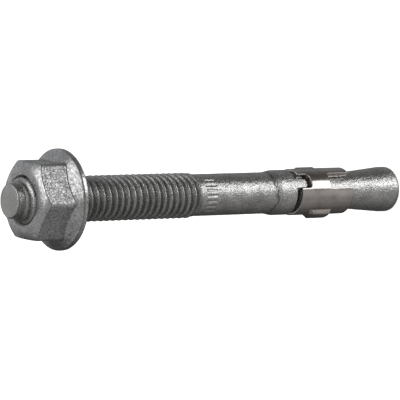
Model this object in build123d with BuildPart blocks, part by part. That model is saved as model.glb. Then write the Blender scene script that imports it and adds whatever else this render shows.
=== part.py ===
from build123d import *
from math import isclose, radians, tan
import os

os.makedirs("parts", exist_ok=True)

# Wedge anchor for an 8 mm hole in concrete, in three pieces: a cold-formed stud with a rolled
# thread at one end and an expansion cone at the other, a clip rolled from strip that sits loose
# on the stud's neck, and a hexagon nut with a flange. Sizes are in millimetres and degrees. The
# stud stands on the face of its cone, with its axis on +Z.

# ---- Stud ----
stud_length = 80.0
cone_diameter = 8.0
cone_land = 2.1
cone_blend = 12.0
cone_length = 10.9
end_rounding = 0.9
neck_diameter = 5.96
neck_length = 10.0
collar_diameter = 7.9
collar_length = 3.0
collar_bevel_length = 1.75
shank_diameter = 7.25
tongue_turn = -68.0
tongue_arc = 23.5
tongue_corner = 0.5

# ---- Thread and point ----
# The thread, M8 x 1.25 under its zinc, is a plain cylinder over the crests.
thread_diameter = 7.85
thread_length = 35.7
runout_length = 0.8
point_diameter = 5.9
point_length = 1.35
point_rounding = 0.4

# ---- Expansion clip ----
clip_wall = 0.98
clip_play = 0.12
clip_length = 11.2
clip_gap = 0.95
clip_turn = -61.5
slot_arc = 42.0
slot_length = 4.8
slot_corner = 0.4
notch_arc = 40.0
notch_depth = 2.25
notch_corner = 0.65
seam_width = 0.4
dimple_turn = 99.0
dimple_arc = 34.0
dimple_length = 5.1
dimple_rise = 0.68
dimple_bevel = 0.65
dimple_side_bevel = 0.28
dimple_from_end = 5.05
recess_arc = 22.0
recess_depth = 0.4
recess_margin = 0.8

# ---- Flange nut ----
across_flats = 12.85
hexagon_rounding = 1.4
hexagon_turn = 22.5
nut_height = 7.8
face_diameter = 10.8
face_angle = 32.0
face_rounding = 1.5
flange_diameter = 17.1
flange_rim = 1.0
flange_angle = 33.0
rim_rounding = 0.4
flange_root_diameter = 9.0
bore_play = 0.06
countersink = 0.35
stud_protrusion = 2.55

# ---- Radii and heights that follow from them ----
cone_r = cone_diameter / 2
neck_r = neck_diameter / 2
collar_r = collar_diameter / 2
shank_r = shank_diameter / 2
crest_r = thread_diameter / 2
point_r = point_diameter / 2
neck_start = cone_land + cone_length
shoulder = neck_start + neck_length
collar_top = shoulder + collar_length
thread_top = stud_length - point_length
thread_start = thread_top - thread_length

clip_inner_r = neck_r + clip_play
clip_outer_r = clip_inner_r + clip_wall
clip_top = shoulder - clip_gap
clip_bottom = clip_top - clip_length
slot_end = clip_bottom + slot_length
notch_end = clip_top - notch_depth
tongue_tip = notch_end + clip_gap
cone_slope = (cone_r - neck_r) / cone_length

nut_top = stud_length - stud_protrusion
bearing = nut_top - nut_height
flange_r = flange_diameter / 2
bore_r = crest_r + bore_play


def radial_plane(turn):
    """A plane that holds the axis: its x axis points outwards at this angle, its y axis is Z."""
    return Plane(
        origin=(0, 0, 0),
        x_dir=Vector(1, 0, 0).rotate(Axis.Z, turn),
        z_dir=Vector(0, -1, 0).rotate(Axis.Z, turn),
    )


def sector(arc, inner, outer, low, high, corner, end):
    """A block centred on +X between two radial planes, with its radial edges rounded at one end."""
    with BuildPart() as block:
        with BuildSketch(radial_plane(-arc / 2)):
            with Locations(((inner + outer) / 2, (low + high) / 2)):
                Rectangle(outer - inner, high - low)
        revolve(axis=Axis.Z, revolution_arc=arc)
        radial_edges = block.edges().filter_by(GeomType.LINE).group_by(Axis.Z)[end]
        fillet(radial_edges, corner)
    return block.part


# ---- Anchor bolt ----
# Two tongues hang from the shoulder into the clip's notches and stop the clip turning. They
# keep the collar's own radius, so they read as fingers of the collar.
tongue_root_r = neck_r - clip_play
tongue = sector(tongue_arc, tongue_root_r, collar_r, tongue_tip, shoulder, tongue_corner, 0)

# The turned outline, from the face of the cone up to the point: land, cone, neck, shoulder,
# collar, bevel, shank, thread and point.
with BuildPart() as anchor_bolt:
    with BuildSketch(Plane.XZ) as outline:
        with BuildLine():
            Polyline(
                (0, 0),
                (cone_r, 0),
                (cone_r, cone_land),
                (neck_r, neck_start),
                (neck_r, shoulder),
                (collar_r, shoulder),
                (collar_r, collar_top),
                (shank_r, collar_top + collar_bevel_length),
                (shank_r, thread_start),
                (crest_r, thread_start + runout_length),
                (crest_r, thread_top - (crest_r - point_r)),
                (point_r, thread_top),
                (point_r, stud_length),
                (0, stud_length),
                close=True,
            )
        make_face()
        cone_end_corner = outline.vertices().group_by(Axis.Y)[0].sort_by(Axis.X)[-1]
        fillet(cone_end_corner, end_rounding)
        land_corner = outline.vertices().filter_by(lambda corner: isclose(corner.Y, cone_land))
        fillet(land_corner, cone_blend)
        point_corner = outline.vertices().group_by(Axis.Y)[-1].sort_by(Axis.X)[-1]
        fillet(point_corner, point_rounding)
    revolve(axis=Axis.Z)
    for turn in (tongue_turn, tongue_turn + 180):
        add(tongue.rotate(Axis.Z, turn))
anchor_bolt.part.label = "anchor_bolt"
export_step(anchor_bolt.part, "parts/anchor_bolt.step")

# ---- Expansion clip ----
# A pad pressed outwards from each half of the clip grips the hole while the nut is tightened.
with BuildPart() as dimple:
    pad_bottom = clip_top - dimple_from_end - dimple_length / 2
    pad_top = pad_bottom + dimple_length
    pad_inner_r = clip_outer_r - clip_wall / 2
    with BuildSketch(radial_plane(-dimple_arc / 2)):
        with BuildLine():
            Polyline(
                (pad_inner_r, pad_bottom),
                (clip_outer_r, pad_bottom),
                (clip_outer_r + dimple_rise, pad_bottom + dimple_bevel),
                (clip_outer_r + dimple_rise, pad_top - dimple_bevel),
                (clip_outer_r, pad_top),
                (pad_inner_r, pad_top),
                close=True,
            )
        make_face()
    revolve(axis=Axis.Z, revolution_arc=dimple_arc)
    pad_crown = dimple.faces().sort_by(Axis.X)[-1]
    chamfer(pad_crown.edges().filter_by(Axis.Z), dimple_side_bevel)

# The notches are cut from the top end and the slots from the bottom, square through the strip
# before it is rolled, so their walls are radial.
cut_inner_r = clip_inner_r - clip_wall
cut_outer_r = clip_outer_r + clip_wall
notch_top = clip_top + notch_depth
slot_bottom = clip_bottom - slot_length
notch = sector(notch_arc, cut_inner_r, cut_outer_r, notch_end, notch_top, notch_corner, 0)
slot = sector(slot_arc, cut_inner_r, cut_outer_r, slot_bottom, slot_end, slot_corner, -1)

# The strip is rolled round the neck with its two ends facing each other across a narrow seam,
# and its lower end is relieved inside to clear the cone. On both sides a notch takes a tongue
# of the stud, and a slot frees the two halves to open.
with BuildPart() as expansion_clip:
    with BuildSketch(Plane.XZ):
        with BuildLine():
            mouth_r = cone_r - (clip_bottom - cone_land) * cone_slope + clip_play
            Polyline(
                (mouth_r, clip_bottom),
                (clip_outer_r, clip_bottom),
                (clip_outer_r, clip_top),
                (clip_inner_r, clip_top),
                (clip_inner_r, neck_start),
                close=True,
            )
        make_face()
    revolve(axis=Axis.Z)
    for turn in (clip_turn + dimple_turn, clip_turn - dimple_turn):
        add(dimple.part.rotate(Axis.Z, turn))
        with BuildSketch(radial_plane(turn - recess_arc / 2)):
            with Locations((clip_inner_r, (pad_bottom + pad_top) / 2)):
                Rectangle(2 * recess_depth, dimple_length - 2 * recess_margin)
        revolve(axis=Axis.Z, revolution_arc=recess_arc, mode=Mode.SUBTRACT)
    for turn in (clip_turn, clip_turn + 180):
        add(notch.rotate(Axis.Z, turn), mode=Mode.SUBTRACT)
        add(slot.rotate(Axis.Z, turn), mode=Mode.SUBTRACT)
    with BuildSketch(Plane.XY.offset(clip_bottom)):
        with PolarLocations(clip_outer_r, 1, start_angle=clip_turn + 180):
            Rectangle(2 * clip_outer_r, seam_width)
    extrude(amount=clip_length, mode=Mode.SUBTRACT)
expansion_clip.part.label = "expansion_clip"
export_step(expansion_clip.part, "parts/expansion_clip.step")

# ---- Flange nut ----
# Hexagon and flange are forged in one piece. The hexagon's top is cut back by a cone that
# leaves a round face, and its foot stands in the flange's own cone.
with BuildPart() as flange_nut:
    with BuildSketch(Plane.XY.offset(bearing)) as hexagon:
        RegularPolygon(across_flats / 2, 6, major_radius=False, rotation=hexagon_turn)
        fillet(hexagon.vertices(), hexagon_rounding)
    extrude(amount=nut_height)
    with BuildSketch(Plane.XZ) as blank:
        with BuildLine():
            face_r = face_diameter / 2
            face_drop = (across_flats - face_r) * tan(radians(face_angle))
            Polyline(
                (0, bearing),
                (across_flats, bearing),
                (across_flats, nut_top - face_drop),
                (face_r, nut_top),
                (0, nut_top),
                close=True,
            )
        make_face()
        face_corner = blank.vertices().filter_by(lambda corner: isclose(corner.X, face_r))
        fillet(face_corner, face_rounding)
    revolve(axis=Axis.Z, mode=Mode.INTERSECT)
    with BuildSketch(Plane.XZ) as flange:
        with BuildLine():
            rim_top = bearing + flange_rim
            inner_r = flange_root_diameter / 2
            inner_top = rim_top + (flange_r - inner_r) * tan(radians(flange_angle))
            Polyline(
                (0, bearing),
                (flange_r, bearing),
                (flange_r, rim_top),
                (inner_r, inner_top),
                (0, inner_top),
                close=True,
            )
        make_face()
        fillet(flange.vertices().group_by(Axis.X)[-1], rim_rounding)
    revolve(axis=Axis.Z)
    with BuildSketch(Plane.XY.offset(bearing)):
        Circle(bore_r)
    extrude(amount=nut_height, mode=Mode.SUBTRACT)
    circles = flange_nut.edges().filter_by(GeomType.CIRCLE)
    bore_mouths = circles.filter_by(lambda circle: isclose(circle.radius, bore_r))
    chamfer(bore_mouths, countersink)
flange_nut.part.label = "flange_nut"
export_step(flange_nut.part, "parts/flange_nut.step")
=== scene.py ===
from math import asin, atan, cos, pi, radians, sin, sqrt, tan

import bmesh
import bpy
import numpy as np
from mathutils import Matrix, Vector, geometry, noise


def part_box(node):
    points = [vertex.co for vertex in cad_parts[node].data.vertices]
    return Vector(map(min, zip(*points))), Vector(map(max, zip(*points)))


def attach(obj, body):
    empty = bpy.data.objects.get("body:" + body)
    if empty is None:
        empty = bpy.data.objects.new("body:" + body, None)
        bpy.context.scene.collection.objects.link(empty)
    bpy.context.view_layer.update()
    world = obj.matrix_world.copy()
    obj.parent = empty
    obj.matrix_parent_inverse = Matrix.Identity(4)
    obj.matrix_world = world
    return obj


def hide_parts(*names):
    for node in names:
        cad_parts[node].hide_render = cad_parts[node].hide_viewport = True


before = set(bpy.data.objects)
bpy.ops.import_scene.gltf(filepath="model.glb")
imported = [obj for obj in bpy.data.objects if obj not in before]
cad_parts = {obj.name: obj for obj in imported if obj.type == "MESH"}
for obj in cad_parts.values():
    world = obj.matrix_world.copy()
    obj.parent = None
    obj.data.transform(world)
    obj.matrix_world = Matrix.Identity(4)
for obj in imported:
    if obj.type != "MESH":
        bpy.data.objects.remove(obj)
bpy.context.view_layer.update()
MM = 0.001

# ---------------------------------------------------------------------------------------------
# Anchor bolt: one cold-formed bar of steel with an upset expansion cone, a collar whose two
# tongues hold the clip, and a rolled M8 thread. It is hot-dip galvanised, so its edges are
# soft and its skin is a lumpy coat of zinc crystals.
# ---------------------------------------------------------------------------------------------
_, bolt_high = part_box("anchor_bolt")
stud_length = bolt_high.z / MM
cone_r = bolt_high.x / MM
cone_land = 2.1
cone_blend = 12.0
cone_foot = 13.0
end_rounding = 0.9
neck_r = 2.98
neck_blend = 2.0
neck_middle = 18.5
shoulder = 23.0
collar_r = 3.95
collar_top = 26.0
bevel_start = 0.15
bevel_length = 1.75
bevel_top_rounding = 0.8
bevel_foot_rounding = 1.2
shank_r = 3.625
tongue_turn = radians(-68)
tongue_arc = radians(23.5)
tongue_half = collar_r * sin(tongue_arc / 2)
tongue_tip = 20.75
tongue_corner = 0.5
tongue_root = 0.3
edge_rounding = 0.07
thread_start = 42.95
thread_top = 78.65
thread_pitch = 1.25
crest_r = 3.92
root_r = 3.18
runout = 1.3
point_r = 2.95
point_rounding = 0.4
end_middle_r = 0.3
columns = 168
row_step = 0.2
neck_rows = 12
shoulder_rows = 4
collar_rows = 22
weld = 0.002 * MM


def rounded(corners, step):
    """Points (r, z) along an outline of corners (r, z, radius), with each corner rounded."""
    points = [np.array(corners[0][:2], float)]
    for before, corner, after in zip(corners, corners[1:], corners[2:]):
        tip = np.array(corner[:2], float)
        back = np.array(before[:2], float) - tip
        ahead = np.array(after[:2], float) - tip
        back /= np.linalg.norm(back)
        ahead /= np.linalg.norm(ahead)
        half_bend = (pi - np.arccos(np.clip(back @ ahead, -1, 1))) / 2
        reach = corner[2] * tan(half_bend)
        arc_parts = 0
        if corner[2]:
            arc_parts = max(1, min(8, round(2 * half_bend * corner[2] / (step / 2))))
        points.append(tip + back * reach)
        for k in range(1, arc_parts + 1):
            t = k / arc_parts
            points.append(tip + back * reach * (1 - t) ** 2 + ahead * reach * t ** 2)
    points.append(np.array(corners[-1][:2], float))
    spaced = [points[0]]
    for start, end in zip(points, points[1:]):
        run = np.linalg.norm(end - start)
        if run < 1e-6:
            continue
        parts = max(1, round(run / step))
        spaced += [start + (end - start) * k / parts for k in range(1, parts + 1)]
    return spaced


def turned(outline, turns):
    """Rings of points, one for each (r, z) of an outline, at these angles round the axis."""
    return [np.column_stack((r * np.cos(turns), r * np.sin(turns), np.full(len(turns), z)))
            for r, z in outline]


def ring(radii, turns, heights):
    """One ring of points, each with its own radius, angle and height."""
    return np.column_stack((radii * np.cos(turns), radii * np.sin(turns), heights))


def skin(rings, caps=(), looped=False):
    """Points in metres and quads between rings. Its ends stay open, or get the caps 0 and -1."""
    rings = np.array(rings) * MM
    count, across = rings.shape[:2]
    index = np.arange(count * across).reshape(count, across)
    spans = zip(index, np.roll(index, -1, axis=0)) if looped else zip(index, index[1:])
    faces = []
    for low, high in spans:
        faces += np.column_stack((low, np.roll(low, -1), np.roll(high, -1), high)).tolist()
    points = rings.reshape(-1, 3).tolist()
    for end in caps:
        edge = index[end].tolist()
        points.append(rings[end].mean(axis=0).tolist())
        pole = len(points) - 1
        faces += [[a, b, pole] for a, b in zip(edge, edge[1:] + edge[:1])]
    return points, faces


def closed_mesh(name, shells):
    """Welds shells of (points, faces) and ready meshes into one closed mesh of triangles that
    face outwards."""
    work = bmesh.new()
    for shell in shells:
        if isinstance(shell, bpy.types.Mesh):
            work.from_mesh(shell)
            continue
        made = bpy.data.meshes.new("shell")
        made.from_pydata(shell[0], [], shell[1])
        work.from_mesh(made)
        bpy.data.meshes.remove(made)
    bmesh.ops.remove_doubles(work, verts=work.verts, dist=weld)
    bmesh.ops.dissolve_degenerate(work, edges=work.edges, dist=weld)
    loose = [edge for edge in work.edges if not edge.link_faces]
    bmesh.ops.delete(work, geom=loose, context="EDGES")
    bmesh.ops.triangulate(work, faces=work.faces)
    bmesh.ops.recalc_face_normals(work, faces=work.faces)
    mesh = bpy.data.meshes.new(name)
    work.to_mesh(mesh)
    work.free()
    mesh.shade_smooth()
    return mesh


def coat(mesh, depth, lump, seed):
    """Sinks a surface inwards by up to depth, in soft random lumps, as dipped zinc leaves it."""
    fine_size, fine_share, contrast = 0.45, 0.5, 0.6
    count = len(mesh.vertices)
    places = np.empty(count * 3)
    mesh.vertices.foreach_get("co", places)
    places = places.reshape(-1, 3)
    normals = np.array([vertex.normal[:] for vertex in mesh.vertices])
    shift = Vector((seed, 2 * seed, 3 * seed))
    relief = np.array([
        noise.noise(Vector(place) / (lump * MM) + shift)
        + fine_share * noise.noise(Vector(place) / (lump * MM * fine_size) - shift)
        for place in places.tolist()
    ])
    sink = depth * MM * np.clip(0.5 + contrast * relief, 0, 1)
    mesh.vertices.foreach_set("co", (places - normals * sink[:, None]).ravel())
    mesh.update()


def feed(tree, socket, value):
    """Links a node's output to a socket, or sets the socket's own value."""
    if isinstance(value, bpy.types.NodeSocket):
        tree.links.new(value, socket)
    else:
        socket.default_value = value


def calc(tree, operation, *values):
    """A Math node, with sockets or numbers as its values."""
    made = tree.nodes.new("ShaderNodeMath")
    made.operation = operation
    for socket, value in zip(made.inputs, values):
        feed(tree, socket, value)
    return made.outputs[0]


def eased(tree, value, low, high, to_low, to_high):
    """A Map Range node that eases in and out between its two ends."""
    made = tree.nodes.new("ShaderNodeMapRange")
    made.interpolation_type = "SMOOTHSTEP"
    for socket, number in zip(made.inputs, (value, low, high, to_low, to_high)):
        feed(tree, socket, number)
    return made.outputs[0]


# The shoulder's edge, as (angle, height), goes from the middle of one tongue to that of the
# other: round the tip, up the wall, out along the shoulder and back the same way.
def shoulder_edge():
    corner_points, wall_points, root_points = 6, 5, 3
    window = columns // 6
    tip = [(0.0, tongue_tip), (tongue_half - tongue_corner, tongue_tip)]
    corner = [(tongue_half - tongue_corner * (1 - sin(a)),
               tongue_tip + tongue_corner * (1 - cos(a)))
              for a in np.linspace(0, pi / 2, corner_points + 1)[1:]]
    wall_heights = np.linspace(tongue_tip + tongue_corner, shoulder - tongue_root, wall_points + 1)
    wall = [(tongue_half, z) for z in wall_heights[1:]]
    root = [(tongue_half + tongue_root * (1 - cos(a)), shoulder - tongue_root * (1 - sin(a)))
            for a in np.linspace(0, pi / 2, root_points + 1)[1:]]
    run = tip + corner + wall + root
    turns = [asin(x / collar_r) for x, z in run]
    heights = [z for x, z in run]
    rest = window + 1 - len(run)
    turns += np.linspace(turns[-1], 2 * pi * window / columns, rest + 1)[1:].tolist()
    heights += [shoulder] * rest
    middle = [2 * pi * k / columns for k in range(window + 1, columns // 2 - window)]
    half_turns = turns + middle + [pi - turn for turn in turns[::-1]]
    half_heights = heights + [shoulder] * len(middle) + heights[::-1]
    turns = half_turns[:-1] + [pi + turn for turn in half_turns[:-1]]
    heights = half_heights[:-1] * 2
    return np.array(turns) + tongue_turn, np.array(heights)


edge_turns, edge_heights = shoulder_edge()
even_turns = tongue_turn + np.arange(columns) * 2 * pi / columns

# The edge's line moved into the metal by the rounding of the edge.
along = np.roll(edge_turns, -1) - np.roll(edge_turns, 1)
along = (along + pi) % (2 * pi) - pi
rise = np.roll(edge_heights, -1) - np.roll(edge_heights, 1)
length = np.hypot(along * collar_r, rise)


def set_back(distance):
    """The shoulder's edge, moved into the collar and the tongues by this distance."""
    return (edge_turns - distance * rise / length / collar_r,
            edge_heights + distance * along * collar_r / length)


stud_rings = turned(rounded([
    (end_middle_r, 0, 0),
    (cone_r, 0, end_rounding),
    (cone_r, cone_land, cone_blend),
    (neck_r, cone_foot, neck_blend),
    (neck_r, neck_middle, 0),
], row_step), even_turns)

# Up the neck the rings change from level to the edge's own line. They run out across the
# shoulder and over its rounded edge, and grow level again on the way up the collar.
for part in np.linspace(0, 1, neck_rows + 1)[1:]:
    stud_rings.append(ring(np.full(columns, neck_r),
                           even_turns + (edge_turns - even_turns) * part,
                           neck_middle + (edge_heights - neck_middle) * part))
for r in np.linspace(neck_r, collar_r - edge_rounding, shoulder_rows + 1)[1:]:
    stud_rings.append(ring(np.full(columns, r), edge_turns, edge_heights))
arc_middle = edge_rounding * 0.3
for back, r in ((arc_middle, collar_r - arc_middle), (edge_rounding, collar_r)):
    turns, heights = set_back(back)
    stud_rings.append(ring(np.full(columns, r), turns, heights))
for part in np.linspace(0, 1, collar_rows + 1)[1:]:
    stud_rings.append(ring(np.full(columns, collar_r),
                           turns + (even_turns - turns) * part,
                           heights + (collar_top - heights) * part))
stud_rings += turned(rounded([
    (collar_r, collar_top, 0),
    (collar_r, collar_top + bevel_start, bevel_top_rounding),
    (shank_r, collar_top + bevel_length, bevel_foot_rounding),
    (shank_r, thread_start, 0),
], row_step)[1:], even_turns)

# A row of plain bars is stamped into one side of the shank, just below the thread: each dents
# three columns of points in every seven.
bar_middle = 41.0
bar_half = 1.2
bar_slope = 0.2
bar_depth = 0.11
bar_profile = (0, 0.75, 1, 0.75, 0, 0, 0)
bars_turn = radians(-98)
bars_reach = radians(52)
stamped = np.cos(even_turns - bars_turn) > cos(bars_reach)
bar_columns = np.tile(bar_profile, columns // len(bar_profile)) * stamped
for row in stud_rings:
    dent = np.clip((bar_half - np.abs(row[:, 2] - bar_middle)) / bar_slope, 0, 1) * bar_columns
    row[:, :2] *= (1 - bar_depth / shank_r * dent)[:, None]

point_rings = turned(rounded([
    (point_r, thread_top, 0),
    (point_r, stud_length, point_rounding),
    (end_middle_r, stud_length, 0),
], row_step), even_turns)


# The thread follows its helix: a grid whose long side runs along the helix and whose short side
# spans one pitch. Beyond the thread's two ends its points gather on an end ring. The groove's
# flank lies between the two flats, which are given as shares of half a pitch.
def rolled_thread(coating):
    tree = bpy.data.node_groups.new("rolled_thread", "GeometryNodeTree")
    face = tree.interface
    sizes = {
        "Start": thread_start * MM, "Top": thread_top * MM, "Pitch": thread_pitch * MM,
        "Crest Radius": crest_r * MM, "Root Radius": root_r * MM, "Shank Radius": shank_r * MM,
        "Run-out": runout * MM, "Point Radius": point_r * MM, "First Angle": tongue_turn,
        "Crest Flat": 0.10, "Root Flat": 0.92,
    }
    counts = {"Steps a Turn": columns, "Lines a Pitch": 10}
    for name in sizes:
        face.new_socket(name, in_out="INPUT", socket_type="NodeSocketFloat")
    for name in counts:
        face.new_socket(name, in_out="INPUT", socket_type="NodeSocketInt")
    face.new_socket("Geometry", in_out="OUTPUT", socket_type="NodeSocketGeometry")
    given = tree.nodes.new("NodeGroupInput").outputs
    start, top, pitch = given["Start"], given["Top"], given["Pitch"]

    turns = calc(tree, "ADD", 1.0, calc(tree, "CEIL", calc(
        tree, "DIVIDE", calc(tree, "SUBTRACT", top, start), pitch)))
    grid = tree.nodes.new("GeometryNodeMeshGrid")
    feed(tree, grid.inputs["Size X"], 1.0)
    feed(tree, grid.inputs["Size Y"], 1.0)
    feed(tree, grid.inputs["Vertices X"], calc(
        tree, "ADD", 1.0, calc(tree, "MULTIPLY", turns, given["Steps a Turn"])))
    feed(tree, grid.inputs["Vertices Y"], calc(tree, "ADD", 1.0, given["Lines a Pitch"]))

    place = tree.nodes.new("ShaderNodeSeparateXYZ")
    feed(tree, place.inputs[0], tree.nodes.new("GeometryNodeInputPosition").outputs[0])
    turn = calc(tree, "MULTIPLY", calc(tree, "ADD", place.outputs["X"], 0.5), turns)
    across = calc(tree, "ADD", place.outputs["Y"], 0.5)
    raw = calc(tree, "ADD", calc(tree, "SUBTRACT", start, pitch),
               calc(tree, "MULTIPLY", calc(tree, "ADD", turn, across), pitch))
    height = calc(tree, "MINIMUM", calc(tree, "MAXIMUM", raw, start), top)
    whole_turns = 64.0  # any whole number that keeps the phase above zero
    phase = calc(tree, "FRACT", calc(
        tree, "ADD", whole_turns, calc(tree, "SUBTRACT", calc(
            tree, "DIVIDE", calc(tree, "SUBTRACT", height, start), pitch), turn)))
    from_crest = calc(tree, "MULTIPLY", 2.0, calc(
        tree, "ABSOLUTE", calc(tree, "SUBTRACT", phase, 0.5)))
    profile = eased(tree, from_crest, given["Crest Flat"], given["Root Flat"],
                    given["Crest Radius"], given["Root Radius"])
    blend_end = calc(tree, "ADD", start, given["Run-out"])
    formed = eased(tree, height, start, blend_end, 0.0, 1.0)
    radius = calc(tree, "ADD", given["Shank Radius"], calc(
        tree, "MULTIPLY", formed, calc(tree, "SUBTRACT", profile, given["Shank Radius"])))
    chamfer = calc(tree, "ADD", given["Point Radius"], calc(tree, "SUBTRACT", top, height))
    radius = calc(tree, "MINIMUM", radius, chamfer)
    angle = calc(tree, "ADD", given["First Angle"], calc(tree, "MULTIPLY", turn, 2 * pi))

    joined = tree.nodes.new("ShaderNodeCombineXYZ")
    feed(tree, joined.inputs[0], calc(tree, "MULTIPLY", radius, calc(tree, "COSINE", angle)))
    feed(tree, joined.inputs[1], calc(tree, "MULTIPLY", radius, calc(tree, "SINE", angle)))
    feed(tree, joined.inputs[2], height)
    moved = tree.nodes.new("GeometryNodeSetPosition")
    feed(tree, moved.inputs["Geometry"], grid.outputs["Mesh"])
    feed(tree, moved.inputs["Position"], joined.outputs[0])
    welded = tree.nodes.new("GeometryNodeMergeByDistance")
    feed(tree, welded.inputs["Geometry"], moved.outputs[0])
    feed(tree, welded.inputs["Distance"], weld)
    real = tree.nodes.new("GeometryNodeRealizeInstances")
    feed(tree, real.inputs[0], welded.outputs[0])
    finish = tree.nodes.new("GeometryNodeSetMaterial")
    feed(tree, finish.inputs["Geometry"], real.outputs[0])
    finish.inputs["Material"].default_value = coating
    feed(tree, tree.nodes.new("NodeGroupOutput").inputs[0], finish.outputs[0])

    holder = bpy.data.objects.new("thread_blank", bpy.data.meshes.new("thread_blank"))
    bpy.context.collection.objects.link(holder)
    modifier = holder.modifiers.new("thread", "NODES")
    modifier.node_group = tree
    for item in face.items_tree:
        if item.in_out == "INPUT":
            modifier[item.identifier] = {**sizes, **counts}[item.name]
    ready = holder.evaluated_get(bpy.context.evaluated_depsgraph_get())
    mesh = bpy.data.meshes.new_from_object(ready)
    holder.modifiers.remove(modifier)
    bpy.data.objects.remove(holder)
    return mesh


def cloud(tree, vector, size, detail, distortion=0.0):
    """A Noise Texture whose lumps have this size in mm."""
    made = tree.nodes.new("ShaderNodeTexNoise")
    feed(tree, made.inputs["Vector"], vector)
    made.inputs["Scale"].default_value = 1 / (size * MM)
    made.inputs["Detail"].default_value = detail
    made.inputs["Distortion"].default_value = distortion
    return made.outputs["Fac"]


def blend(tree, share, below, above):
    """A colour that goes from one colour to the other as the share goes from 0 to 1."""
    made = tree.nodes.new("ShaderNodeMix")
    made.data_type = "RGBA"
    feed(tree, made.inputs["Factor"], share)
    feed(tree, made.inputs["A"], below)
    feed(tree, made.inputs["B"], above)
    return made.outputs["Result"]


def zinc(name, grey, gloss, lump, relief, marks=None, rough_share=None):
    """Galvanised steel: grey zinc in fine bright and dull crystals, with lumps of this size in mm,
    grain and pits. A function marks(tree, colour, radius, height, mottle, lumps) can lay other
    colours over it. A function rough_share(tree, radius, height) says how much of the relief each
    place has, and makes rough places duller too."""
    grain_size = 0.42
    pit_edge = (0.66, 0.76)
    pit_grey = (0.10, 0.10, 0.095, 1)
    pit_darkening, pit_depth = 0.6, 0.4
    mottle_share, grain_share = 0.35, 0.65
    dull, bright = (0.38, 0.62), (0.62, 1.18)
    grain_range, gloss_range = (0.35, 0.65), 0.08
    grain_relief = 0.25
    added_roughness = 0.24

    material = bpy.data.materials.new(name)
    material.use_nodes = True
    tree = material.node_tree
    shader = tree.nodes["Principled BSDF"]
    where = tree.nodes.new("ShaderNodeTexCoord").outputs["Object"]
    place = tree.nodes.new("ShaderNodeSeparateXYZ")
    feed(tree, place.inputs[0], where)
    radius = calc(tree, "SQRT", calc(
        tree, "ADD", calc(tree, "POWER", place.outputs["X"], 2.0),
        calc(tree, "POWER", place.outputs["Y"], 2.0)))

    mottle = cloud(tree, where, size=2.6, detail=3.0)
    lumps = cloud(tree, where, size=lump, detail=2.0, distortion=1.2)
    grain = cloud(tree, where, size=lump * grain_size, detail=2.0, distortion=0.4)
    pits = eased(tree, cloud(tree, where, size=0.55, detail=1.0), *pit_edge, 0.0, 1.0)

    tone = calc(tree, "ADD", calc(tree, "MULTIPLY", mottle, mottle_share),
                calc(tree, "MULTIPLY", grain, grain_share))
    crystals = tree.nodes.new("ShaderNodeValToRGB")
    feed(tree, crystals.inputs[0], tone)
    for stop, (position, share) in zip(crystals.color_ramp.elements, (dull, bright)):
        stop.position = position
        stop.color = [channel * share for channel in grey] + [1]
    # The pits are darker in colour as well as sunk.
    colour = blend(tree, calc(tree, "MULTIPLY", pits, pit_darkening), crystals.outputs[0], pit_grey)
    if marks:
        colour = marks(tree, colour, radius, place.outputs["Z"], mottle, lumps)
    feed(tree, shader.inputs["Base Color"], colour)
    shader.inputs["Metallic"].default_value = 0.9
    roughness = eased(tree, grain, *grain_range, gloss + gloss_range, gloss - gloss_range)

    height = calc(tree, "ADD", lumps, calc(tree, "MULTIPLY", grain, grain_relief))
    height = calc(tree, "SUBTRACT", height, calc(tree, "MULTIPLY", pits, pit_depth))
    bump = tree.nodes.new("ShaderNodeBump")
    bump.inputs["Strength"].default_value = 1.0
    feed(tree, bump.inputs["Distance"], relief * MM)
    if rough_share:
        share = rough_share(tree, radius, place.outputs["Z"])
        feed(tree, bump.inputs["Distance"], calc(tree, "MULTIPLY", share, relief * MM))
        roughness = calc(tree, "ADD", roughness, calc(tree, "MULTIPLY", share, added_roughness))
    feed(tree, shader.inputs["Roughness"], roughness)
    feed(tree, bump.inputs["Height"], height)
    feed(tree, shader.inputs["Normal"], bump.outputs[0])
    return material


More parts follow.
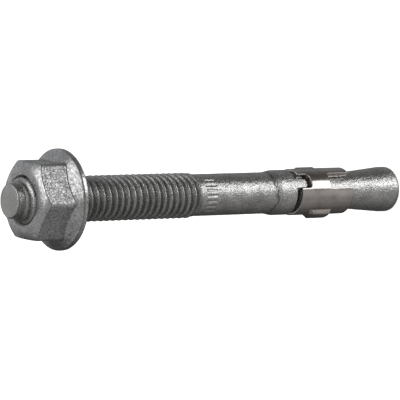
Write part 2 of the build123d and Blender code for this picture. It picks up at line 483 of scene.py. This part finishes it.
def stud_marks(tree, colour, radius, height, mottle, lumps):
    """Painted shade darkening the thread's grooves, a wavy painted dark line of shade at the foot
    of the collar's bevel, and painted light that makes the end face brighter."""
    groove_shade_colour, groove_shade_share = (0.11, 0.108, 0.095, 1), 0.5
    last_grooves, last_share = 3, 0.3
    bevel_shade_grey, bevel_shade_share = (0.10, 0.10, 0.10, 1), 0.75
    bevel_shade_height = collar_top + 1.25
    bevel_shade_wave = 2.2
    bevel_shade_core, bevel_shade_edge = 0.06 * MM, 0.26 * MM
    hollow, bump, on_hollow = 0.36, 0.50, 0.4
    end_light_grey, end_light_share = (0.74, 0.74, 0.74, 1), 0.33
    end_light_start, end_light_full = (stud_length - 0.10) * MM, (stud_length - 0.02) * MM

    # Painted shade: the thread's grooves are darkened towards their roots, less so in the last
    # grooves.
    depth = eased(tree, radius, root_r * MM, crest_r * MM, 1.0, 0.0)
    begun = eased(tree, height, thread_start * MM, (thread_start + runout) * MM, 0.0, 1.0)
    ended = eased(tree, height, (thread_top - last_grooves) * MM, thread_top * MM, 1.0, last_share)
    groove_shade = calc(tree, "MULTIPLY", depth, calc(tree, "MULTIPLY", begun, ended))
    colour = blend(tree, calc(tree, "MULTIPLY", groove_shade, groove_shade_share), colour, groove_shade_colour)

    # Painted shade: a wavy dark line across the collar's bevel, stronger on the lumps than in the
    # hollows.
    waved = calc(tree, "ADD", height, calc(
        tree, "MULTIPLY", calc(tree, "SUBTRACT", mottle, 0.5), bevel_shade_wave * MM))
    from_bevel_shade = calc(tree, "ABSOLUTE", calc(tree, "SUBTRACT", waved, bevel_shade_height * MM))
    bevel_shade = calc(tree, "MULTIPLY", eased(tree, from_bevel_shade, bevel_shade_core, bevel_shade_edge, 1.0, 0.0),
                  eased(tree, lumps, hollow, bump, on_hollow, 1.0))
    colour = blend(tree, calc(tree, "MULTIPLY", bevel_shade, bevel_shade_share), colour, bevel_shade_grey)

    # Painted light: the end face is blended towards a light grey.
    end_face_light = eased(tree, height, end_light_start, end_light_full, 0.0, end_light_share)
    return blend(tree, end_face_light, colour, end_light_grey)


def piece(name, mesh, material, body, node):
    """Places a finished mesh: it stands for a CAD node and moves with its body."""
    mesh.materials.clear()
    mesh.materials.append(material)
    made = bpy.data.objects.new(name, mesh)
    bpy.context.collection.objects.link(made)
    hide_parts(node)
    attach(made, body)


stud_zinc = zinc("stud_zinc", grey=(0.53, 0.53, 0.525), gloss=0.24, lump=0.34, relief=0.065,
                 marks=stud_marks)
stud_mesh = closed_mesh("stud_mesh", [
    skin(stud_rings, caps=[0]), rolled_thread(stud_zinc), skin(point_rings, caps=[-1])])
coat(stud_mesh, depth=0.035, lump=0.55, seed=3.0)
piece("galvanised_stud", stud_mesh, stud_zinc, "stud", "anchor_bolt")

# ---------------------------------------------------------------------------------------------
# Expansion clip: a blank punched from stainless strip and rolled round the stud's neck. Its
# notches hold the tongues, its slots free the two halves to open, and a pad pressed out of
# each half grips the hole. The edges keep the slight rounding of the punch.
# ---------------------------------------------------------------------------------------------
clip_low, clip_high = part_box("expansion_clip")
clip_bottom = clip_low.z / MM
clip_top = clip_high.z / MM
clip_outer_r = 4.08
clip_wall = 0.98
clip_turn = radians(-61.5)
relief_top = cone_foot
relief_slope = (cone_r - neck_r) / (cone_foot - cone_land)
notch_end = 19.8
notch_half = radians(20) * clip_outer_r
notch_corner = 0.65
slot_end = 15.65
slot_half = radians(21) * clip_outer_r
slot_corner = 0.4
seam_half = 0.2
blank_corner = 0.18
punch_rounding = 0.035
punch_drop = punch_rounding * 0.9
pad_turn = radians(99) * clip_outer_r
pad_middle = 17.0
pad_half_length = 2.55
pad_half_width = radians(17) * clip_outer_r
pad_rise = 0.68
pad_end_run = 0.75
pad_wall_run = 0.08
pad_wall_share = 0.62
pad_side_run = 0.34
rim_step = 0.13
blank_grid = 0.15
rim_clearance = blank_grid * 0.62
pad_margin = 0.09
side_step = 0.1

# The blank lies flat here: x runs round the clip from the first slot, y is its height.
half_round = pi * clip_outer_r
right_half = [
    (slot_half, slot_end, slot_corner),
    (slot_half, clip_bottom, blank_corner),
    (half_round - slot_half, clip_bottom, blank_corner),
    (half_round - slot_half, slot_end, slot_corner),
    (half_round - seam_half, slot_end, blank_corner),
    (half_round - seam_half, notch_end, blank_corner),
    (half_round - notch_half, notch_end, notch_corner),
    (half_round - notch_half, clip_top, blank_corner),
    (notch_half, clip_top, blank_corner),
    (notch_half, notch_end, notch_corner),
]
left_half = [(-x, y, r) for x, y, r in right_half[::-1]]
slot_middle = (0.0, slot_end, 0)
rim = np.array(rounded([slot_middle] + right_half + left_half + [slot_middle], rim_step)[:-1])
ahead = np.roll(rim, -1, axis=0) - np.roll(rim, 1, axis=0)
ahead /= np.linalg.norm(ahead, axis=1)[:, None]
inset = rim + np.column_stack((-ahead[:, 1], ahead[:, 0])) * punch_rounding

# An even net of points fills the blank, clear of its edge.
net = []
for row, y in enumerate(np.arange(clip_bottom, clip_top, blank_grid * sqrt(3) / 2)):
    xs = np.arange(-half_round, half_round, blank_grid) + (row % 2) * blank_grid / 2
    net.append(np.column_stack((xs, np.full(len(xs), y))))
net = np.vstack(net)

# Straight lines of points follow the pads' pressed sides instead, which are steep.
pressed_in = pad_half_width - np.abs(np.abs(net[:, 0]) - pad_turn)
beside = (pressed_in > -pad_margin) & (pressed_in < pad_side_run + pad_margin)
net = net[~(beside & (np.abs(net[:, 1] - pad_middle) < pad_half_length))]
side_heights = np.arange(pad_middle - pad_half_length, pad_middle + pad_half_length, side_step)
for middle in (-pad_turn, pad_turn):
    for inward in (0, pad_wall_run, pad_side_run):
        for x in (middle - pad_half_width + inward, middle + pad_half_width - inward):
            net = np.vstack((net, np.column_stack((np.full(len(side_heights), x), side_heights))))

# Only the points inside the rim stay: a line from them crosses it an odd number of times.
crossings = np.zeros(len(net), bool)
nearest = np.full(len(net), np.inf)
for (x0, y0), (x1, y1) in zip(inset, np.roll(inset, -1, axis=0)):
    spans = (y0 > net[:, 1]) != (y1 > net[:, 1])
    if spans.any():
        crossings ^= spans & (net[:, 0] < (x1 - x0) * (net[:, 1] - y0) / (y1 - y0) + x0)
    nearest = np.minimum(nearest, np.hypot(net[:, 0] - x0, net[:, 1] - y0))
net = net[crossings & (nearest > rim_clearance)]
rim_count = len(inset)
flat = [Vector(p) for p in np.vstack((inset, net)).tolist()]
outline = [list(range(rim_count))]
inside_only = 1
flat_points, _, flat_faces, _, _, _ = geometry.delaunay_2d_cdt(
    flat, [], outline, inside_only, 1e-6)
flat_points = np.array([p[:] for p in flat_points])


def pad_height(flat_xy):
    """How far the pads stand out at these places of the flat blank, in mm."""
    def step(value):
        value = np.clip(value, 0, 1)
        return value * value * (3 - 2 * value)
    from_pad = np.abs(np.abs(flat_xy[:, 0]) - pad_turn)
    side = np.interp(pad_half_width - from_pad, (0, pad_wall_run, pad_side_run),
                     (0, pad_wall_share, 1))
    end = step((pad_half_length - np.abs(flat_xy[:, 1] - pad_middle)) / pad_end_run)
    return pad_rise * side * end


def rolled(flat_xy, depth):
    """Wraps places of the flat blank round the axis, this far in from the clip's outside."""
    turns = clip_turn + flat_xy[:, 0] / clip_outer_r
    return ring(clip_outer_r - depth + pad_height(flat_xy), turns, flat_xy[:, 1]) * MM


def wall(flat_xy):
    """The strip's thickness at these places: its lower end is relieved inside over the cone."""
    return clip_wall - relief_slope * np.maximum(0, relief_top - flat_xy[:, 1])


count = len(flat_points)
rim_wall = wall(rim)
layers = [rolled(flat_points, 0.0), rolled(flat_points, wall(flat_points))]
rims = [rolled(rim, depth) for depth in (punch_drop, rim_wall / 2, rim_wall - punch_drop)]
clip_points = np.vstack(layers + rims).tolist()
clip_faces = [list(face) for face in flat_faces]
clip_faces += [[count + i for i in face[::-1]] for face in flat_faces]
lines = [np.arange(rim_count)]
lines += [2 * count + rim_count * k + np.arange(rim_count) for k in range(len(rims))]
lines += [count + np.arange(rim_count)]
for upper, lower in zip(lines, lines[1:]):
    clip_faces += np.column_stack((upper, np.roll(upper, -1), np.roll(lower, -1), lower)).tolist()
clip_mesh = closed_mesh("clip_mesh", [(clip_points, clip_faces)])


def stainless(name):
    """Cold-rolled stainless strip: smooth and warm grey, with faint streaks along the stud."""
    dark, light = (0.35, (0.40, 0.37, 0.36, 1)), (0.65, (0.54, 0.50, 0.48, 1))
    polished, matt = 0.12, 0.18
    streak_stretch = (1.0, 1.0, 0.12)
    streak_depth = 0.008

    material = bpy.data.materials.new(name)
    material.use_nodes = True
    tree = material.node_tree
    shader = tree.nodes["Principled BSDF"]
    where = tree.nodes.new("ShaderNodeTexCoord").outputs["Object"]
    stretch = tree.nodes.new("ShaderNodeMapping")
    feed(tree, stretch.inputs["Vector"], where)
    stretch.inputs["Scale"].default_value = streak_stretch
    blotch = cloud(tree, where, size=2.2, detail=3.0)
    streak = cloud(tree, stretch.outputs[0], size=0.14, detail=3.0)

    ramp = tree.nodes.new("ShaderNodeValToRGB")
    feed(tree, ramp.inputs[0], blotch)
    for stop, (position, colour) in zip(ramp.color_ramp.elements, (dark, light)):
        stop.position = position
        stop.color = colour
    feed(tree, shader.inputs["Base Color"], ramp.outputs[0])
    shader.inputs["Metallic"].default_value = 1.0
    feed(tree, shader.inputs["Roughness"], eased(tree, blotch, 0.3, 0.7, polished, matt))
    bump = tree.nodes.new("ShaderNodeBump")
    bump.inputs["Strength"].default_value = 0.5
    bump.inputs["Distance"].default_value = streak_depth * MM
    feed(tree, bump.inputs["Height"], streak)
    feed(tree, shader.inputs["Normal"], bump.outputs[0])
    return material


piece("stainless_clip", clip_mesh, stainless("clip_stainless"), "clip",
      "expansion_clip")

# ---------------------------------------------------------------------------------------------
# Flange nut: hexagon and flange are forged in one piece and galvanised like the stud. The
# hexagon's top is chamfered to a round face, and its foot runs out into the flange's cone.
# ---------------------------------------------------------------------------------------------
nut_low, nut_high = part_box("flange_nut")
bearing = nut_low.z / MM
nut_top = nut_high.z / MM
flange_r = nut_high.x / MM
flange_rim = 1.0
flange_slope = tan(radians(33))
rim_rounding = 0.4
flat_distance = 6.425
hexagon_rounding = 1.0
hexagon_turn = radians(22.5)
foot_rounding = 0.25
face_r = 4.4
chamfer_depth = 1.12
chamfer_rounding = 0.26
chamfer_parts = 6
face_rounding = 0.08
bore_r = 3.985
countersink = 0.35
bore_rounding = 0.05
nut_columns = 288

nut_turns = hexagon_turn + np.arange(nut_columns) * 2 * pi / nut_columns
from_corner = (nut_turns - hexagon_turn + pi / 6) % (pi / 3) - pi / 6
from_flat = pi / 6 - np.abs(from_corner)
corner_centre = (flat_distance - hexagon_rounding) / cos(pi / 6)
flat_end = atan((flat_distance - hexagon_rounding) * tan(pi / 6) / flat_distance)
hexagon_r = np.where(
    from_flat < flat_end,
    flat_distance / np.cos(from_flat),
    corner_centre * np.cos(from_corner)
    + np.sqrt(np.maximum(0, hexagon_rounding ** 2 - (corner_centre * np.sin(from_corner)) ** 2)),
)


def smooth_run(corners, counts):
    """Points (r, z) along corners (r, z, radius), each stretch with its own count of points."""
    points = []
    size = len(corners)
    for k in range(size):
        here = np.array(corners[k][:2])
        back = np.array(corners[k - 1][:2]) - here
        ahead = np.array(corners[(k + 1) % size][:2]) - here
        back /= np.linalg.norm(back)
        ahead_run = np.linalg.norm(ahead)
        ahead /= ahead_run
        reach = corners[k][2] * tan((pi - np.arccos(np.clip(back @ ahead, -1, 1))) / 2)
        arc_parts = 4
        points += [here + back * reach * (1 - s) ** 2 + ahead * reach * s ** 2
                   for s in np.linspace(0, 1, arc_parts + 1)]
        following = corners[(k + 1) % size]
        there = np.array(following[:2])
        onward = np.array(corners[(k + 2) % size][:2]) - there
        onward /= np.linalg.norm(onward)
        next_reach = following[2] * tan((pi - np.arccos(np.clip(-ahead @ onward, -1, 1))) / 2)
        first, last = here + ahead * reach, there - ahead * next_reach
        points += [first + (last - first) * s for s in np.linspace(0, 1, counts[k] + 1)[1:-1]]
    return points


# Each section starts at the bore's lower countersink and runs out under the flange, up the flat,
# in over the chamfer, which falls away faster towards the corners, and down the bore.
corner_r = corner_centre + hexagon_rounding
point_counts = [2, 26, 2, 12, 26] + [1] * chamfer_parts + [3, 2, 30]
sections = []
for wall_r in hexagon_r:
    foot = bearing + flange_rim + (flange_r - wall_r) * flange_slope
    chamfer = [(r, nut_top - chamfer_depth * ((r - face_r) / (corner_r - face_r)) ** 2, 0.0)
               for r in np.linspace(wall_r, face_r, chamfer_parts + 1)]
    chamfer[0] = (*chamfer[0][:2], chamfer_rounding)
    sections.append(smooth_run([
        (bore_r, bearing + countersink, bore_rounding),
        (bore_r + countersink, bearing, bore_rounding),
        (flange_r, bearing, rim_rounding),
        (flange_r, bearing + flange_rim, rim_rounding),
        (wall_r, foot, foot_rounding),
        *chamfer,
        (bore_r + countersink, nut_top, face_rounding),
        (bore_r, nut_top - countersink, bore_rounding),
    ], point_counts))
sections = np.array(sections)
nut_rings = [ring(sections[:, k, 0], nut_turns, sections[:, k, 1])
             for k in range(sections.shape[1])]
nut_mesh = closed_mesh("nut_mesh", [skin(nut_rings, looped=True)])
coat(nut_mesh, depth=0.028, lump=0.6, seed=7.0)


def forged_skin(tree, radius, height):
    """The flats keep the rough skin of the forging; chamfer, face and flange are smoother."""
    smooth_share = 0.12
    near, far = 0.10 * MM, 0.35 * MM
    reach = calc(tree, "DIVIDE", calc(tree, "SUBTRACT", radius, face_r * MM),
                 (corner_r - face_r) * MM)
    chamfer = calc(tree, "SUBTRACT", nut_top * MM, calc(
        tree, "MULTIPLY", calc(tree, "POWER", reach, 2.0), chamfer_depth * MM))
    cone = calc(tree, "ADD", (bearing + flange_rim) * MM, calc(
        tree, "MULTIPLY", calc(tree, "SUBTRACT", flange_r * MM, radius), flange_slope))
    below = eased(tree, calc(tree, "SUBTRACT", chamfer, height), near, far, smooth_share, 1.0)
    above = eased(tree, calc(tree, "SUBTRACT", height, cone), near, far, smooth_share, 1.0)
    return calc(tree, "MULTIPLY", below, above)


nut_zinc = zinc("nut_zinc", grey=(0.55, 0.55, 0.555), gloss=0.24, lump=0.78, relief=0.125,
                rough_share=forged_skin)
piece("galvanised_nut", nut_mesh, nut_zinc, "nut", "flange_nut")

# ---------------------------------------------------------------------------------------------
# Studio: a pale floor, a soft light beside the anchor and one above it, and soft walls of light
# round it with dark gaps between them. The light comes from below the floor's level as well, so
# the floor neither shades the anchor nor shows in its metal.
# ---------------------------------------------------------------------------------------------
floor_half = 3.0
floor_mesh = bpy.data.meshes.new("floor")
floor_mesh.from_pydata([(x * floor_half, y * floor_half, 0) for x, y in
                        ((-1, -1), (1, -1), (1, 1), (-1, 1))], [], [(0, 1, 2, 3)])
floor_paper = bpy.data.materials.new("floor_paper")
floor_paper.use_nodes = True
paper = floor_paper.node_tree.nodes["Principled BSDF"]
paper.inputs["Base Color"].default_value = (0.9, 0.9, 0.9, 1)
paper.inputs["Roughness"].default_value = 0.9
paper.inputs["Emission Color"].default_value = (1, 1, 1, 1)
paper.inputs["Emission Strength"].default_value = 0.9
floor_mesh.materials.append(floor_paper)
floor = bpy.data.objects.new("floor", floor_mesh)
bpy.context.collection.objects.link(floor)
floor.visible_glossy = False
floor.visible_diffuse = False
floor.visible_shadow = False

world = bpy.data.worlds.new("studio")
bpy.context.scene.world = world
world.use_nodes = True
sky = world.node_tree
sky.nodes.clear()
direction = sky.nodes.new("ShaderNodeSeparateXYZ")
feed(sky, direction.inputs[0], sky.nodes.new("ShaderNodeTexCoord").outputs["Generated"])
bearing_angle = calc(sky, "ARCTAN2", direction.outputs["X"],
                     calc(sky, "MULTIPLY", direction.outputs["Y"], -1.0))
round_share = calc(sky, "ADD", 0.5, calc(sky, "DIVIDE", bearing_angle, 2 * pi))


def band(stops):
    """A colour round the horizon from stops of (azimuth, red, green, blue), in degrees."""
    made = sky.nodes.new("ShaderNodeValToRGB")
    made.color_ramp.interpolation = "EASE"
    feed(sky, made.inputs[0], round_share)
    while len(made.color_ramp.elements) < len(stops):
        made.color_ramp.elements.new(0.5)
    for stop, (angle, red, green, blue) in zip(made.color_ramp.elements, stops):
        stop.position = 0.5 + angle / 360
        stop.color = (red, green, blue, 1)
    return made.outputs[0]


def layered(low, high, below, above):
    """Blends from one light to the other between these two values of the direction's z."""
    share = eased(sky, direction.outputs["Z"], low, high, 0.0, 1.0)
    return blend(sky, share, below, above)


ground_band = band([
    (-180, 0.06, 0.06, 0.06), (-60, 0.09, 0.09, 0.088), (0, 0.36, 0.36, 0.35),
    (70, 0.50, 0.50, 0.49), (140, 0.52, 0.52, 0.50), (180, 0.12, 0.12, 0.12)])
low_band = band([
    (-180, 0.05, 0.05, 0.05), (-140, 0.06, 0.06, 0.06), (-100, 0.125, 0.122, 0.12),
    (-75, 0.235, 0.23, 0.225), (-42, 0.35, 0.345, 0.34), (-13, 0.54, 0.53, 0.52),
    (3, 0.55, 0.55, 0.54), (7, 0.16, 0.16, 0.155), (14, 0.16, 0.16, 0.155),
    (20, 0.35, 0.35, 0.34), (60, 0.14, 0.137, 0.13), (85, 0.105, 0.103, 0.096),
    (105, 0.165, 0.165, 0.158), (128, 0.28, 0.28, 0.285), (155, 0.22, 0.225, 0.23),
    (180, 0.06, 0.06, 0.06)])
middle_band = band([
    (-180, 0.47, 0.47, 0.465), (-150, 0.06, 0.06, 0.06), (-105, 0.06, 0.06, 0.058),
    (-60, 0.13, 0.13, 0.127), (-15, 0.12, 0.12, 0.12), (20, 0.09, 0.09, 0.09),
    (75, 0.10, 0.10, 0.10), (110, 0.16, 0.165, 0.17), (145, 0.45, 0.47, 0.49),
    (180, 0.47, 0.47, 0.465)])
ceiling = (0.38, 0.38, 0.375, 1)
low_light = layered(-0.90, -0.74, ground_band, low_band)
side_light = layered(-0.32, -0.02, low_light, middle_band)
surroundings = layered(0.40, 0.70, side_light, ceiling)
lit = sky.nodes.new("ShaderNodeBackground")
feed(sky, lit.inputs["Color"], surroundings)
plain = sky.nodes.new("ShaderNodeBackground")
plain.inputs["Color"].default_value = (1, 1, 1, 1)
shown = sky.nodes.new("ShaderNodeMixShader")
feed(sky, shown.inputs[0], sky.nodes.new("ShaderNodeLightPath").outputs["Is Camera Ray"])
feed(sky, shown.inputs[1], lit.outputs[0])
feed(sky, shown.inputs[2], plain.outputs[0])
feed(sky, sky.nodes.new("ShaderNodeOutputWorld").inputs[0], shown.outputs[0])

aim = Vector((0, 0, stud_length * MM / 2))


def softbox(name, towards, along, distance, width, height, radiance):
    """An area light in this direction from the anchor, its width laid along a second direction."""
    light = bpy.data.lights.new(name, "AREA")
    light.shape = "RECTANGLE"
    light.size = width
    light.size_y = height
    light.energy = radiance * pi * width * height
    made = bpy.data.objects.new(name, light)
    bpy.context.collection.objects.link(made)
    back = Vector(towards).normalized()
    side = Vector(along) - Vector(along).dot(back) * back
    side.normalize()
    facing = Matrix((side, back.cross(side), back)).transposed().to_4x4()
    made.matrix_world = Matrix.Translation(aim + back * distance) @ facing


softbox("key_light", towards=(0.424, -0.692, -0.5835), along=(0.84, 0.50, 0.10),
        distance=0.9, width=0.50, height=0.6, radiance=2.4)
softbox("top_light", towards=(0.31, 0.15, 0.94), along=(0.62, 0.47, -0.27),
        distance=0.9, width=0.72, height=0.50, radiance=1.55)

# ---------------------------------------------------------------------------------------------
# Camera: a long lens that looks down on the standing anchor and is rolled on its side, so the
# stud lies across the view with its nut in front.
# ---------------------------------------------------------------------------------------------
axis_angle = radians(54.3)
tilt = radians(1.93)
camera_place = Vector((-0.87, -460.12, 371.85)) * MM
forward = Vector((0, sin(axis_angle), -cos(axis_angle)))
right = Vector((-sin(tilt), -cos(axis_angle) * cos(tilt), -sin(axis_angle) * cos(tilt)))
up = Vector((cos(tilt), -cos(axis_angle) * sin(tilt), -sin(axis_angle) * sin(tilt)))
camera_data = bpy.data.cameras.new("camera")
camera_data.sensor_width = 36
camera_data.lens = 297
camera_data.clip_start = 0.01
camera = bpy.data.objects.new("camera", camera_data)
bpy.context.collection.objects.link(camera)
camera_facing = Matrix((right, up, -forward)).transposed().to_4x4()
camera.matrix_world = Matrix.Translation(camera_place) @ camera_facing
bpy.context.scene.camera = camera
bpy.context.scene.view_settings.view_transform = "Standard"
